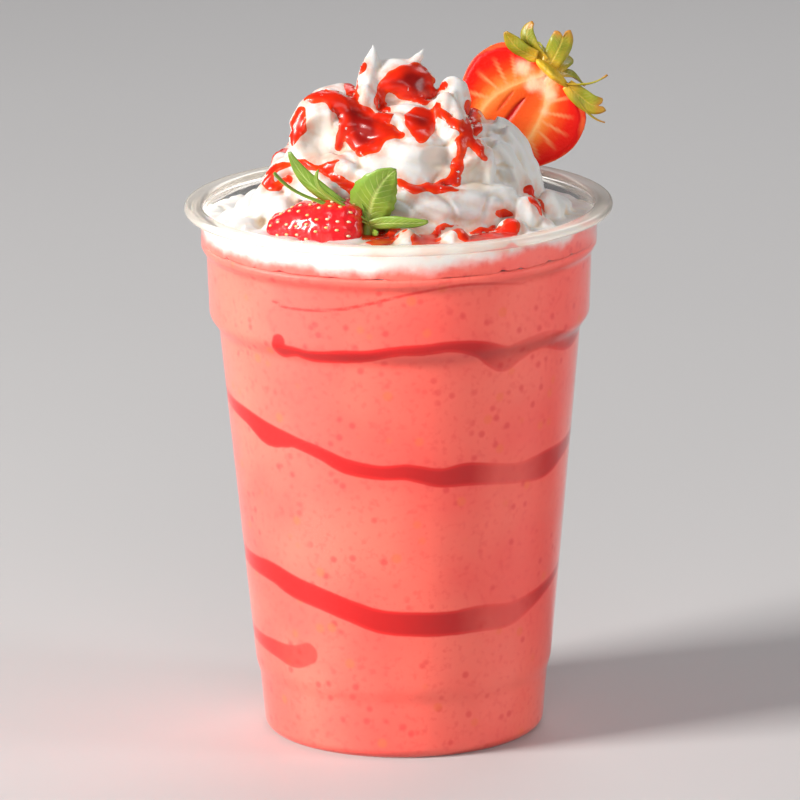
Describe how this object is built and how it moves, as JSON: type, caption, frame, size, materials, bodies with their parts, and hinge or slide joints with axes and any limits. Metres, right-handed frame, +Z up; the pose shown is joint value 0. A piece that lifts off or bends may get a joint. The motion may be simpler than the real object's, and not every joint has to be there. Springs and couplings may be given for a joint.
{
  "type": "strawberry milkshake",
  "caption": "Pink strawberry milkshake in a clear plastic tumbler, under a piped swirl of whipped cream with a small whole strawberry and a halved strawberry.",
  "frame": {"origin": "centre of the tumbler's foot, on the surface it stands on", "axes": "+Z up along the tumbler's axis, -Y towards the serving side, where the whole strawberry lies"},
  "size_m": [0.095, 0.095, 0.1567],
  "materials": {
    "clear_plastic": "clear, glossy",
    "milkshake": "opaque drink, satin",
    "whipped_cream": "soft satin",
    "strawberry": "glossy, dimpled skin",
    "cut_strawberry": "wet cut flesh",
    "fresh_leaf": "satin, veined",
    "dry_leaf": "satin, drying at the tips",
    "strawberry_sauce": "wet, glossy"
  },
  "bodies": {
    "root": {"cup": "clear_plastic", "milkshake": "milkshake", "whipped_cream": "whipped_cream", "whole_strawberry": "strawberry", "whole_calyx": "fresh_leaf", "half_strawberry": "cut_strawberry", "half_calyx": "dry_leaf"}
  },
  "joints": []
}
